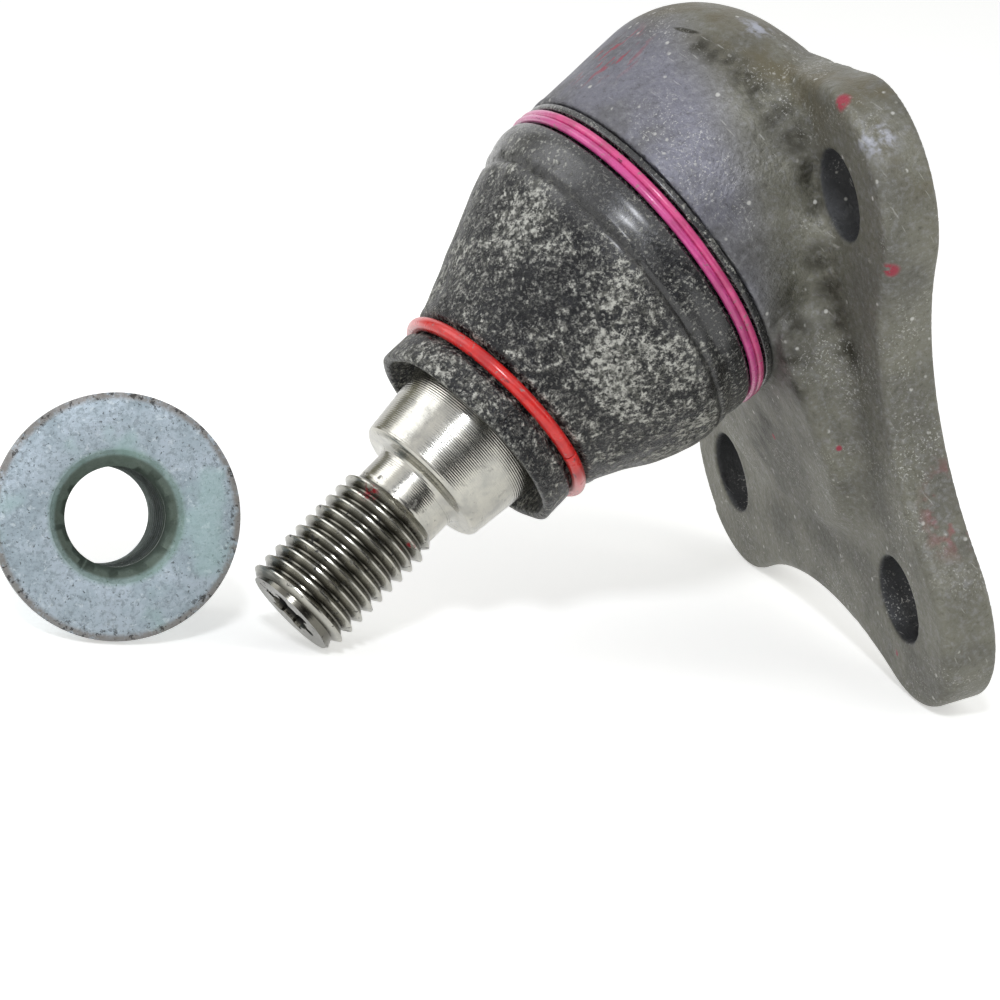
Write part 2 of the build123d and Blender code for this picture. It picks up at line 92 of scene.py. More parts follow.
BOLT_HOLE_R = 4.7 * MM
HALF_SPAN_Y = max(hole.y for hole in BOLT_HOLES) / MM
HALF_SPAN_Z = max(hole.dot(FLANGE_UP) for hole in BOLT_HOLES) / MM


def axis_frame(direction, origin):
    """Axes with Z along a piece's own axis and X kept square to the flange's upward line."""
    side = FLANGE_UP.cross(direction).normalized()
    turn = Matrix((side, direction.cross(side), direction)).transposed()
    return Matrix.Translation(origin) @ turn.to_4x4()


CUP_FRAME = axis_frame(CUP_AXIS, BALL)
STUD_FRAME = axis_frame(STUD_AXIS, BALL)
NUT_FRAME = axis_frame(NUT_AXIS, NUT_MIDDLE + NUT_AXIS * NUT_BORE_LENGTH / 2 * MM)
FLANGE_FRAME = Matrix((-FLANGE_NORMAL.cross(FLANGE_UP), FLANGE_UP, -FLANGE_NORMAL)).transposed().to_4x4()


def on_axis(base, heading, radius, height):
    """Point beside an axis: heading in degrees round it, radius and height in millimetres."""
    turn = math.radians(heading)
    return base @ (Vector((math.cos(turn) * radius, math.sin(turn) * radius, height)) * MM)


def on_flange(across, up, ahead):
    """Point ahead of the flange's back, in millimetres from the middle of its bolt holes."""
    return (Vector((0, across, 0)) + FLANGE_UP * up - FLANGE_NORMAL * ahead) * MM


# ------------------------------------------------------------------ turning and joining
TURN_STEPS = 160
EDGE_SHARE = 0.48        # the most of a side that a rounded corner may take


def rounded(corners, arc_steps=5):
    """Open outline with rounded corners; each corner is (radius, height) or (radius, height, rounding)."""
    points = []
    for index, corner in enumerate(corners):
        here = Vector(corner[:2])
        if len(corner) == 2 or index in (0, len(corners) - 1):
            points.append(here)
            continue
        back = Vector(corners[index - 1][:2]) - here
        ahead = Vector(corners[index + 1][:2]) - here
        reach = min(corner[2], back.length * EDGE_SHARE, ahead.length * EDGE_SHARE)
        start = here + back.normalized() * reach
        end = here + ahead.normalized() * reach
        for step in range(arc_steps + 1):
            share = step / arc_steps
            points.append(start.lerp(here, share).lerp(here.lerp(end, share), share))
    return points


def arc(radius, start, end, steps):
    """Points on a circle round the ball's centre, from one angle above the equator to another."""
    angles = [math.radians(start + (end - start) * step / steps) for step in range(steps + 1)]
    return [Vector((radius * math.cos(a), radius * math.sin(a))) for a in angles]


def turned(outline, closed=False, steps=TURN_STEPS, sweep=math.tau, rise=0.0):
    """Mesh turned round Z from an outline in millimetres; a rise turns it into a helix."""
    bm = bmesh.new()
    chain = [bm.verts.new((r * MM, 0, h * MM)) for r, h in outline]
    edges = [bm.edges.new(pair) for pair in zip(chain, chain[1:])]
    if closed:
        edges.append(bm.edges.new((chain[-1], chain[0])))
    bmesh.ops.spin(bm, geom=chain + edges, axis=(0, 0, 1), cent=(0, 0, 0), angle=sweep, steps=steps,
                   dvec=(0, 0, rise * MM / steps), use_merge=rise == 0 and sweep == math.tau)
    bmesh.ops.remove_doubles(bm, verts=bm.verts, dist=MERGE)
    return bm


def facing_out(bm):
    bmesh.ops.recalc_face_normals(bm, faces=bm.faces)
    return bm


def linked(name, bm):
    """Object in the scene that takes over a bmesh."""
    mesh = bpy.data.meshes.new(name)
    bm.to_mesh(mesh)
    bm.free()
    made = bpy.data.objects.new(name, mesh)
    bpy.context.scene.collection.objects.link(made)
    return made


def piece(name, bm, material, sharp):
    """Finished object at the origin, smooth except along edges sharper than an angle in degrees."""
    made = linked(name, bm)
    made.data.materials.append(material)
    made.data.shade_smooth()
    made.data.set_sharp_from_angle(angle=math.radians(sharp))
    return made


def take_in(bm, other):
    """Moves everything from another bmesh into this one."""
    scratch = bpy.data.meshes.new("scratch")
    other.to_mesh(scratch)
    other.free()
    bm.from_mesh(scratch)
    bpy.data.meshes.remove(scratch)


def merged_copy(node):
    """Mesh of a construction solid with its doubled vertices joined."""
    bm = bmesh.new()
    bm.from_mesh(frame["nodes"][node].data)
    bmesh.ops.remove_doubles(bm, verts=bm.verts, dist=MERGE)
    return bm


def open_edges(bm):
    return [edge for edge in bm.edges if edge.is_boundary]


def rim_loop(bm, height):
    """Open edges that lie at one height of a turned mesh."""
    return [edge for edge in open_edges(bm)
            if all(abs(vert.co.z / MM - height) < RIM_REACH for vert in edge.verts)]


def smooth_step(value, low, high):
    share = min(max((value - low) / (high - low), 0.0), 1.0)
    return share * share * (3 - 2 * share)


# ------------------------------------------------------------------ material graphs
def srgb(red, green, blue):
    """Linear colour from the 0 to 255 values of a paint card."""
    return tuple((c / 255 / 12.92 if c <= 10 else ((c / 255 + 0.055) / 1.055) ** 2.4)
                 for c in (red, green, blue)) + (1.0,)


class Finish:
    """Material whose patterns read a piece's own place, in millimetres, in the axes of a frame."""

    def __init__(self, name, base):
        self.material = bpy.data.materials.new(name)
        self.material.use_nodes = True
        self.tree = self.material.node_tree
        self.shader = self.tree.nodes["Principled BSDF"]
        coordinates = self.add("ShaderNodeTexCoord").outputs["Object"]
        self.place = self.placed(coordinates, base)
        self.world = coordinates

    def add(self, kind, **settings):
        node = self.tree.nodes.new(kind)
        for key, value in settings.items():
            setattr(node, key, value)
        return node

    def join(self, value, socket):
        if hasattr(value, "is_output"):
            self.tree.links.new(value, socket)
        else:
            socket.default_value = value

    def placed(self, coordinates, base):
        """Place in a frame's axes, in millimetres."""
        back = base.inverted()
        mapping = self.add("ShaderNodeMapping")
        mapping.inputs["Scale"].default_value = (1 / MM,) * 3
        mapping.inputs["Rotation"].default_value = back.to_euler()
        mapping.inputs["Location"].default_value = back.translation / MM
        self.join(coordinates, mapping.inputs["Vector"])
        return mapping.outputs["Vector"]

    def stretched(self, scale):
        mapping = self.add("ShaderNodeMapping")
        mapping.inputs["Scale"].default_value = scale
        self.join(self.place, mapping.inputs["Vector"])
        return mapping.outputs["Vector"]

    def grain(self, scale, detail=3.0, rough=0.55, place=None, distortion=0.0):
        node = self.add("ShaderNodeTexNoise")
        self.join(place or self.place, node.inputs["Vector"])
        node.inputs["Scale"].default_value = scale
        node.inputs["Detail"].default_value = detail
        node.inputs["Roughness"].default_value = rough
        node.inputs["Distortion"].default_value = distortion
        return node.outputs["Fac"]

    def cells(self, scale):
        node = self.add("ShaderNodeTexVoronoi")
        self.join(self.place, node.inputs["Vector"])
        node.inputs["Scale"].default_value = scale
        return node.outputs["Distance"]

    def sums(self, operation, first, second=0.0, third=None):
        node = self.add("ShaderNodeMath", operation=operation)
        self.join(first, node.inputs[0])
        self.join(second, node.inputs[1])
        if third is not None:
            self.join(third, node.inputs[2])
        return node.outputs[0]

    def times(self, first, second):
        return self.sums("MULTIPLY", first, second)

    def most(self, *values):
        """Largest of several values."""
        total = values[0]
        for value in values[1:]:
            total = self.sums("MAXIMUM", total, value)
        return total

    def length(self, first, second):
        """Length of the line whose two parts are given."""
        return self.sums("SQRT", self.sums("ADD", self.times(first, first), self.times(second, second)))

    def ramp(self, value, low, high, start=0.0, end=1.0):
        """Runs smoothly from start to end as the value goes from low to high."""
        node = self.add("ShaderNodeMapRange", interpolation_type="SMOOTHSTEP")
        self.join(value, node.inputs["Value"])
        for key, number in (("From Min", low), ("From Max", high), ("To Min", start), ("To Max", end)):
            node.inputs[key].default_value = number
        return node.outputs["Result"]

    def part(self, index, place=None):
        node = self.add("ShaderNodeSeparateXYZ")
        self.join(place or self.place, node.inputs[0])
        return node.outputs[index]

    def radius(self):
        """Distance from the piece's own axis, in millimetres."""
        return self.length(self.part(0), self.part(1))

    def near(self, point, reach, soft=0.5, stretch=(1, 1, 1)):
        """One near a point of the object, falling to nothing at a reach in millimetres."""
        apart = self.add("ShaderNodeVectorMath", operation="SUBTRACT")
        self.join(self.world, apart.inputs[0])
        apart.inputs[1].default_value = point
        scaled = self.add("ShaderNodeVectorMath", operation="MULTIPLY")
        self.join(apart.outputs[0], scaled.inputs[0])
        scaled.inputs[1].default_value = [s / MM / reach for s in stretch]
        length = self.add("ShaderNodeVectorMath", operation="LENGTH")
        self.join(scaled.outputs[0], length.inputs[0])
        return self.ramp(length.outputs["Value"], 1 - soft, 1.0, 1.0, 0.0)

    def mix(self, share, first, second):
        node = self.add("ShaderNodeMix", data_type="RGBA")
        self.join(share, node.inputs[0])
        self.join(first, node.inputs[6])
        self.join(second, node.inputs[7])
        return node.outputs[2]

    def bumps(self, height, strength, depth, below=None):
        node = self.add("ShaderNodeBump")
        node.inputs["Strength"].default_value = strength
        node.inputs["Distance"].default_value = depth * MM
        self.join(height, node.inputs["Height"])
        if below is not None:
            self.join(below, node.inputs["Normal"])
        return node.outputs["Normal"]

    def finish(self, colour, rough, metal, normal, **others):
        """Material with its sockets filled; further sockets are named with underscores."""
        self.join(colour, self.shader.inputs["Base Color"])
        self.join(rough, self.shader.inputs["Roughness"])
        self.join(metal, self.shader.inputs["Metallic"])
        self.join(normal, self.shader.inputs["Normal"])
        for key, value in others.items():
            self.join(value, self.shader.inputs[key.replace("_", " ")])
        return self.material


# ------------------------------------------------------------------ forged steel
CUP_FOOT_AT = -11.0      # height at which the cup runs into the flange
CREASES = (              # lines of dirt and painted shade: one end, the other, as across, up and ahead of the flange's back, and reach
    ((-8.5, 37.0, 12.6), (-13.0, 34.2, 10.2), 2.3),
    ((-13.0, 34.2, 10.2), (-18.6, 27.7, 7.5), 3.2),
    ((-19.6, 25.0, 7.4), (-19.2, 20.5, 6.8), 1.9),
    ((-20.3, 15.0, 7.5), (-21.9, 5.0, 6.2), 3.2),
    ((-19.6, 11.5, 10.4), (-18.0, 1.5, 11.6), 3.0),
    ((-2.0, -7.2, 9.8), (4.9, -13.1, 8.6), 3.2),
)
CREASE_STEPS = 4
LAP_AT = (-5.6, 38.3, 12.9)
PAINT_SPOTS = (          # across, up and ahead of the flange's back, and reach, in millimetres
    ((-28.3, 32.9, 5.6), 1.3),
    ((-34.2, 16.4, 5.3), 1.2),
    ((-3.0, -9.0, 9.4), 0.5),
    ((-20.0, -5.8, 8.3), 0.45),
    ((-22.0, -29.5, 6.0), 0.5),
)
PAINTED_EDGE_AT = (-31.4, -11.0, 1.2)
GLINT_SPOTS = (           # the same for painted highlights, pale bluish glints on a lobe and on the ridge above the cup
    ((-33.2, 29.6, 4.4), 3.2),
    ((-7.3, 37.2, 6.0), 3.0),
)


def forged_steel():
    """Shot-blasted forging with scale stains, handling dust and a little marking paint; painted shade in the
    creases and bolt holes, a painted bluish sheen on the barrel and painted highlights on a lobe and a ridge.
    """
    f = Finish("forged_steel", CUP_FRAME)
    height = f.part(2)
    flange = f.placed(f.world, FLANGE_FRAME)
    # painted reflection: the barrel is painted with a bluish sheen, the flange olive-grey
    barrel_sheen = f.ramp(f.part(2, flange), 10.0, 17.0)
    colour = f.mix(barrel_sheen, srgb(114, 113, 101), srgb(114, 114, 124))
    clouds = f.grain(0.10, 4.0, 0.62)
    colour = f.mix(f.ramp(clouds, 0.40, 0.66, 0.0, 0.6), colour, srgb(88, 87, 82))
    fine = f.grain(1.5, 4.0, 0.7)
    colour = f.mix(f.ramp(fine, 0.46, 0.70, 0.0, 0.45), colour, srgb(146, 146, 148))
    colour = f.mix(f.ramp(fine, 0.33, 0.43, 0.4, 0.0), colour, srgb(66, 65, 60))
    foot = f.ramp(f.sums("ABSOLUTE", f.sums("SUBTRACT", height, CUP_FOOT_AT)), 0.0, 7.0, 0.8, 0.0)
    stain = f.times(foot, f.ramp(f.grain(0.16, 3.0, 0.6), 0.40, 0.62))
    colour = f.mix(stain, colour, srgb(96, 89, 66))
    # brown-black dirt mixed with painted shade in the creases
    colour = f.mix(crease_dirt_and_shade(f), colour, srgb(46, 44, 34))
    colour = f.mix(bolt_hole_shade(f, flange), colour, srgb(38, 40, 46))
    # painted highlights: pale bluish glints on a lobe and on the ridge above the cup
    glint = f.most(*[f.near(on_flange(*spot), reach, 0.9) for spot, reach in GLINT_SPOTS])
    glint = f.times(glint, f.ramp(f.grain(0.5, 3.0, 0.6), 0.42, 0.60, 0.0, 0.8))
    colour = f.mix(glint, colour, srgb(182, 185, 198))
    dust = forging_dust(f, flange)
    colour = f.mix(dust, colour, srgb(200, 199, 193))
    paint = marking_paint(f)
    colour = f.mix(paint, colour, srgb(150, 44, 62))
    rough = f.ramp(clouds, 0.3, 0.7, 0.44, 0.60)
    metal = f.times(f.sums("SUBTRACT", 1.0, f.most(dust, paint)), 0.45)
    relief = f.bumps(f.grain(0.8, 4.0, 0.68), 0.6, 0.40)
    relief = f.bumps(fine, 0.45, 0.16, relief)
    return f.finish(colour, rough, metal, relief)


def crease_dirt_and_shade(f):
    """Brown-black dirt mixed with painted shade where the cup and the foot run into the flange, and in one short
    lap.
    """
    blots = []
    for first, last, reach in CREASES:
        for step in range(CREASE_STEPS):
            point = Vector(first).lerp(Vector(last), step / (CREASE_STEPS - 1))
            blots.append(f.near(on_flange(*point), reach, 0.95))
    dirt = f.times(f.most(*blots), f.ramp(f.grain(0.45, 4.0, 0.65), 0.34, 0.58, 0.25, 1.0))
    lap = f.near(on_flange(*LAP_AT), 1.0, 0.5, (0.45, 0.45, 4.0))
    return f.most(dirt, lap)


def bolt_hole_shade(f, flange):
    """Painted shade inside the bolt holes."""
    across = f.sums("SUBTRACT", f.sums("ABSOLUTE", f.part(0, flange)), HALF_SPAN_Y)
    up = f.sums("SUBTRACT", f.sums("ABSOLUTE", f.part(1, flange)), HALF_SPAN_Z)
    return f.ramp(f.length(across, up), BOLT_HOLE_R / MM + 0.05, BOLT_HOLE_R / MM + 0.4, 0.88, 0.0)


def forging_dust(f, flange):
    """Scattered white dust: a few round specks, fine powder in clouds and short pale scratches."""
    field = f.ramp(f.grain(0.10, 3.0, 0.6, flange), 0.48, 0.66)
    chance = f.ramp(f.grain(0.5, 2.0, 0.5), 0.50, 0.60)
    specks = f.times(f.ramp(f.cells(0.62), 0.08, 0.20, 0.8, 0.0), chance)
    powder = f.times(f.ramp(f.grain(3.6, 3.0, 0.65), 0.56, 0.66), f.times(field, 0.65))
    scratch = f.ramp(f.grain(0.9, 2.0, 0.5, f.stretched((0.4, 0.4, 3.4))), 0.68, 0.76, 0.0, 0.30)
    return f.most(specks, powder, scratch)


def marking_paint(f):
    """Specks on the flange, a smear down its edge and a faint scribble on the cup."""
    specks = f.most(*[f.near(on_flange(*spot), reach, 0.6) for spot, reach in PAINT_SPOTS])
    specks = f.times(specks, f.ramp(f.grain(1.0, 3.0, 0.6), 0.34, 0.46))
    edge = f.near(on_flange(*PAINTED_EDGE_AT), 6.0, 0.9, (1.4, 1.6, 0.7))
    edge = f.times(edge, f.ramp(f.grain(0.30, 3.0, 0.6), 0.50, 0.62, 0.0, 0.6))
    scribble = f.near(on_axis(CUP_FRAME, 92.0, 20.0, -0.8), 6.0, 0.7)
    strokes = f.grain(0.55, 2.0, 0.5, f.stretched((2.2, 2.2, 0.6)))
    scribble = f.times(scribble, f.ramp(strokes, 0.56, 0.60, 0.0, 0.75))
    return f.most(specks, edge, scribble)


# ------------------------------------------------------------------ the other finishes
LATHE_FEED = 0.24        # millimetres from one turning mark to the next
DIRT_LIFT = 0.045        # how much more dirt the belly holds than the bare rubber, and the band less


def stud_specks_and_socket_shade(f, height, radius):
    """Black specks, mostly in the thread, and painted shade inside the six-lobe socket."""
    specks = f.ramp(f.grain(0.9, 4.0, 0.65), 0.60, 0.66)
    specks = f.times(specks, f.ramp(height, 44.0, 48.0, 0.12, 0.9))
    # painted shade inside the six-lobe socket
    socket_shade = f.times(f.ramp(radius, 3.3, 3.7, 1.0, 0.0), f.ramp(height, 56.0, 57.0))
    below_tip = f.ramp(height, STUD_END - 0.7, STUD_END - 0.15, 1.0, 0.0)
    return f.most(specks, f.times(socket_shade, below_tip))


def turned_steel():
    """Bright turned stud: fine circumferential marks, painted shade in the thread, its root and the socket, and a
    few specks.
    """
    f = Finish("turned_steel", STUD_FRAME)
    height = f.part(2)
    radius = f.radius()
    in_thread = f.ramp(height, THREAD_FROM, THREAD_FROM + 0.5)
    root = f.times(in_thread, f.ramp(radius, 5.15, 5.75, 1.0, 0.0))
    colour = f.mix(f.ramp(f.grain(0.5, 3.0, 0.6), 0.35, 0.7), srgb(186, 184, 175), srgb(164, 163, 157))
    # painted shade: the thread is painted a little darker and its root much darker
    colour = f.mix(f.times(in_thread, 0.35), colour, srgb(150, 149, 142))
    colour = f.mix(f.times(root, 0.85), colour, srgb(84, 82, 74))
    # black specks, and painted shade inside the six-lobe socket
    darkening = stud_specks_and_socket_shade(f, height, radius)
    colour = f.mix(darkening, colour, srgb(30, 29, 27))
    paint = f.most(f.near(on_axis(STUD_FRAME, 62.0, 5.8, 48.6), 1.3, 0.5),
                   f.near(on_axis(STUD_FRAME, -14.0, 5.8, 49.4), 0.7, 0.5))
    paint = f.times(paint, f.ramp(f.grain(1.6), 0.46, 0.54))
    colour = f.mix(paint, colour, srgb(140, 26, 34))
    marks = f.grain(1.0, 3.0, 0.6, f.stretched((0.12, 0.12, 7.0)))
    shank = f.ramp(height, 44.5, 46.5, 1.0, 0.12)
    lines = f.times(f.sums("SINE", f.times(height, math.tau / LATHE_FEED)), 0.6)
    relief = f.bumps(f.times(f.sums("ADD", lines, marks), shank), 0.34, 0.028)
    relief = f.bumps(f.grain(2.0, 3.0, 0.5), 0.08, 0.03, relief)
    rough = f.sums("ADD", f.ramp(marks, 0.3, 0.7, 0.16, 0.26), f.times(darkening, 0.4))
    metal = f.sums("SUBTRACT", 1.0, f.times(f.most(darkening, paint), 0.9))
    return f.finish(colour, rough, metal, relief)


def road_dirt(f, fields, clots, grit):
    """Films, crusts, specks and powder of dried dirt, most on the belly and least by the bead."""
    amount = f.sums("MULTIPLY_ADD", clots, 0.40, f.times(grit, 0.30))
    amount = f.sums("MULTIPLY_ADD", fields, 0.30, amount)
    belly = f.near(on_axis(CUP_FRAME, -12.0, 16.0, 22.0), 15.0, 0.9)
    patch = f.near(on_axis(CUP_FRAME, 66.0, 16.0, 20.5), 7.0, 0.8)
    under = f.near(on_axis(CUP_FRAME, -65.0, 19.0, 20.0), 12.0, 0.9)
    band = f.times(f.ramp(f.part(2), 13.6, 15.4, 1.0, 0.0), DIRT_LIFT)
    amount = f.sums("SUBTRACT", f.sums("MULTIPLY_ADD", f.most(belly, patch, under), DIRT_LIFT, amount), band)
    film = f.ramp(amount, 0.46, 0.56, 0.0, 0.40)
    crust = f.times(f.ramp(amount, 0.520, 0.545), f.ramp(grit, 0.38, 0.50, 0.2, 0.95))
    specks = f.times(f.ramp(f.cells(0.8), 0.10, 0.18, 0.9, 0.0), f.ramp(clots, 0.49, 0.55))
    powder = f.ramp(f.grain(2.6, 4.0, 0.7), 0.53, 0.60)
    powder = f.times(powder, f.ramp(fields, 0.36, 0.58, 0.25, 0.8))
    return f.most(film, crust, specks, powder)


def boot_rubber():
    """Black rubber under dried grey road dirt, with painted shade along the crease; a band by the large ring stays
    clean and glossy.
    """
    f = Finish("boot_rubber", CUP_FRAME)
    height = f.part(2)
    fields = f.grain(0.12, 3.0, 0.6, distortion=0.5)
    clots = f.grain(0.72, 4.0, 0.74, distortion=0.3)
    dust = road_dirt(f, fields, clots, f.grain(2.2, 3.0, 0.7))
    rubber = f.mix(f.ramp(fields, 0.35, 0.65), srgb(12, 13, 16), srgb(25, 27, 31))
    dirt = f.mix(f.ramp(f.grain(1.3, 3.0, 0.7), 0.38, 0.62), srgb(92, 92, 86), srgb(200, 199, 190))
    colour = f.mix(dust, rubber, dirt)
    pits = f.ramp(f.grain(1.6, 4.0, 0.72, distortion=0.4), 0.41, 0.46, 0.85, 0.0)
    colour = f.mix(pits, colour, srgb(17, 18, 20))
    # painted shade along the fold of the crease
    crease = f.ramp(f.sums("ABSOLUTE", f.sums("SUBTRACT", height, CREASE_AT)), 0.15, 0.75, 0.7, 0.0)
    colour = f.mix(crease, colour, srgb(9, 9, 10))
    paint = f.most(f.near(on_axis(CUP_FRAME, 27.0, 17.5, 15.6), 0.45, 0.5),
                   f.near(on_axis(CUP_FRAME, -4.0, 15.5, 24.0), 0.35, 0.5))
    colour = f.mix(paint, colour, srgb(150, 40, 50))
    rough = f.sums("ADD", f.ramp(fields, 0.3, 0.7, 0.22, 0.34), f.times(dust, 0.5))
    relief = f.bumps(f.sums("MULTIPLY_ADD", dust, 0.6, f.times(clots, 1.2)), 0.8, 0.24)
    gloss = f.times(f.sums("SUBTRACT", 1.0, dust), f.ramp(height, 15.0, 17.5, 1.0, 0.0))
    return f.finish(colour, rough, 0.0, relief, Specular_IOR_Level=0.3,
                    Coat_Weight=gloss, Coat_Roughness=0.27)


def painted_wire(name, base, paint, second_paint, split, washed, rubbed):
    """Spring wire in soft paint, of a second shade past a height, chipped, and pale where rubbed."""
    f = Finish(name, base)
    pale = f.most(*[f.near(point, reach, 0.8) for point, reach in rubbed])
    colour = f.mix(f.ramp(f.part(2), split - 0.2, split + 0.2), paint, second_paint)
    dull = f.ramp(f.grain(0.35, 3.0, 0.6), 0.40, 0.65, 0.0, 0.35)
    colour = f.mix(dull, colour, srgb(110, 20, 40))
    colour = f.mix(f.times(pale, 0.75), colour, washed)
    chips = f.ramp(f.grain(1.5, 3.0, 0.6), 0.63, 0.66)
    colour = f.mix(f.times(chips, 0.75), colour, srgb(150, 120, 118))
    black = f.ramp(f.grain(0.9, 3.0, 0.7, f.stretched((0.6, 0.6, 2.5))), 0.66, 0.70, 0.0, 0.7)
    colour = f.mix(black, colour, srgb(60, 20, 34))
    rough = f.ramp(f.grain(0.7, 2.0, 0.5), 0.3, 0.7, 0.24, 0.38)
    relief = f.bumps(f.grain(1.8, 3.0, 0.6), 0.3, 0.08)
    return f.finish(colour, rough, 0.0, relief, Coat_Weight=0.35, Coat_Roughness=0.12)


def zinc_steel():
    """Dull zinc plating, mottled blue-grey, rubbed brown at the rim and green in the countersink, with painted
    shade in the bore.
    """
    f = Finish("zinc_steel", NUT_FRAME)
    radius = f.radius()
    height = f.part(2)
    clouds = f.grain(0.22, 4.0, 0.65)
    colour = f.mix(f.ramp(clouds, 0.36, 0.66), srgb(179, 191, 200), srgb(150, 163, 170))
    pores = f.ramp(f.grain(1.9, 5.0, 0.74, distortion=0.4), 0.47, 0.62)
    colour = f.mix(f.times(pores, 0.5), colour, srgb(112, 122, 124))
    flecks = f.ramp(f.grain(2.4, 3.0, 0.65), 0.62, 0.67, 0.0, 0.75)
    colour = f.mix(flecks, colour, srgb(66, 70, 68))
    pale = f.ramp(f.grain(1.1, 4.0, 0.7), 0.58, 0.66, 0.0, 0.5)
    colour = f.mix(pale, colour, srgb(205, 214, 218))
    mint = f.ramp(f.grain(0.16, 2.0, 0.5), 0.56, 0.70, 0.0, 0.45)
    colour = f.mix(mint, colour, srgb(158, 186, 182))
    sink = f.times(f.ramp(radius, 6.7, 7.4, 1.0, 0.0), f.ramp(height, -2.6, -1.4))
    colour = f.mix(f.times(sink, 0.5), colour, srgb(108, 138, 120))
    # painted shade: the bore is painted dark olive
    bore = f.ramp(radius, 6.15, 6.55, 1.0, 0.0)
    colour = f.mix(f.times(bore, 0.75), colour, srgb(84, 92, 78))
    rim = f.times(f.ramp(radius, 11.8, 12.4), f.ramp(f.grain(0.9, 4.0, 0.7), 0.30, 0.52))
    colour = f.mix(f.times(rim, 0.75), colour, srgb(122, 113, 104))
    darkening = f.times(f.ramp(radius, 10.8, 12.3), f.ramp(f.grain(1.6, 4.0, 0.7), 0.56, 0.61))
    colour = f.mix(f.times(darkening, 0.8), colour, srgb(44, 42, 40))
    rings = f.grain(1.0, 3.0, 0.6, f.stretched((0.5, 0.5, 2.5)))
    rough = f.ramp(clouds, 0.3, 0.7, 0.40, 0.58)
    relief = f.bumps(f.grain(1.5, 5.0, 0.7), 0.4, 0.12)
    relief = f.bumps(rings, 0.15, 0.08, relief)
    return f.finish(colour, rough, 0.72, relief)


def bearing_plastic():
    f = Finish("bearing_plastic", CUP_FRAME)
    tone = f.grain(0.6, 3.0, 0.5)
    colour = f.mix(f.ramp(tone, 0.35, 0.65), srgb(226, 221, 204), srgb(212, 205, 184))
    relief = f.bumps(f.grain(3.0, 2.0, 0.5), 0.15, 0.03)
    return f.finish(colour, f.ramp(tone, 0.3, 0.7, 0.34, 0.46), 0.0, relief)


def ring_steel():
    f = Finish("ring_steel", CUP_FRAME)
    marks = f.grain(1.0, 3.0, 0.6, f.stretched((0.2, 0.2, 6.0)))
    colour = f.mix(f.ramp(marks, 0.35, 0.65), srgb(172, 171, 168), srgb(146, 145, 141))
    return f.finish(colour, f.ramp(marks, 0.3, 0.7, 0.30, 0.44), 0.9, f.bumps(marks, 0.3, 0.04))


# ------------------------------------------------------------------ forged housing
SKIN_VOXEL = 0.46 * MM
SKIN_PASSES = 5          # rounds of smoothing that give the forging its soft edges
TRUE_BACK = 0.6 * MM     # this much of the flange's back stays flat and sharp
CUP_MOUTH_FROM = 6.0 * MM
HOLE_EDGE_ROUND = 0.55 * MM
WALL_CATCH = 0.7         # share of the rounding within which a skin point goes onto the drilled wall
FORGE_WAVE = 0.10 * MM
FORGE_WAVE_RATE = 130
FORGE_PITTING = 0.035 * MM
FORGE_PITTING_RATE = 420
FLAT_BACK = 1.5


def true_hole(place, hole):
    """Moves a skin point near a bolt hole onto the drilled wall, or onto the hole's rounded edge."""
    apart = place - hole
    along = apart.dot(FLANGE_NORMAL)
    across = apart - FLANGE_NORMAL * along
    outside = across.length - BOLT_HOLE_R
    depth = PLATE_T / 2 - abs(along)
    if outside > HOLE_EDGE_ROUND or depth < -HOLE_EDGE_ROUND / 2:
        return place
    depth = max(depth, 0.0)
    if depth > HOLE_EDGE_ROUND:
        if outside < HOLE_EDGE_ROUND * WALL_CATCH:
            return hole + FLANGE_NORMAL * along + across.normalized() * BOLT_HOLE_R
        return place
    corner = Vector((outside - HOLE_EDGE_ROUND, depth - HOLE_EDGE_ROUND))
    corner = corner.normalized() * HOLE_EDGE_ROUND
    radius = BOLT_HOLE_R + HOLE_EDGE_ROUND + corner.x
    side = math.copysign(PLATE_T / 2 - HOLE_EDGE_ROUND - corner.y, along)
    return hole + FLANGE_NORMAL * side + across.normalized() * radius


def near_hole(place):
    """The bolt hole whose wall or edge a point is close to, if there is one."""
    for hole in BOLT_HOLES:
        apart = place - hole
        along = apart.dot(FLANGE_NORMAL)
        across = (apart - FLANGE_NORMAL * along).length
        if across < BOLT_HOLE_R + 2 * HOLE_EDGE_ROUND and abs(along) < PLATE_T / 2 + HOLE_EDGE_ROUND:
            return hole
    return None


def with_modifiers(bm, settings):
    """Mesh after a list of modifiers, each given as its kind and its settings."""
    helper = linked("before", bm)
    for kind, values in settings:
        modifier = helper.modifiers.new(kind, kind)
        for key, value in values.items():
            setattr(modifier, key, value)
    bpy.context.view_layer.update()
    ready = helper.evaluated_get(bpy.context.evaluated_depsgraph_get()).to_mesh()
    after = bmesh.new()
    after.from_mesh(ready)
    mesh = helper.data
    bpy.data.objects.remove(helper)
    bpy.data.meshes.remove(mesh)
    return after


def forge_skin(place, normal, low, high):
    """Slightly uneven forged surface, kept inside the construction's own box."""
    level = (noise.noise(place * FORGE_WAVE_RATE) * FORGE_WAVE
             + noise.noise(place * FORGE_PITTING_RATE) * FORGE_PITTING)
    share = smooth_step(-place.dot(FLANGE_NORMAL) / MM, 0.0, FLAT_BACK)
    moved = place + normal * level * share
    return Vector([min(max(value, least), most) for value, least, most in zip(moved, low, high)])


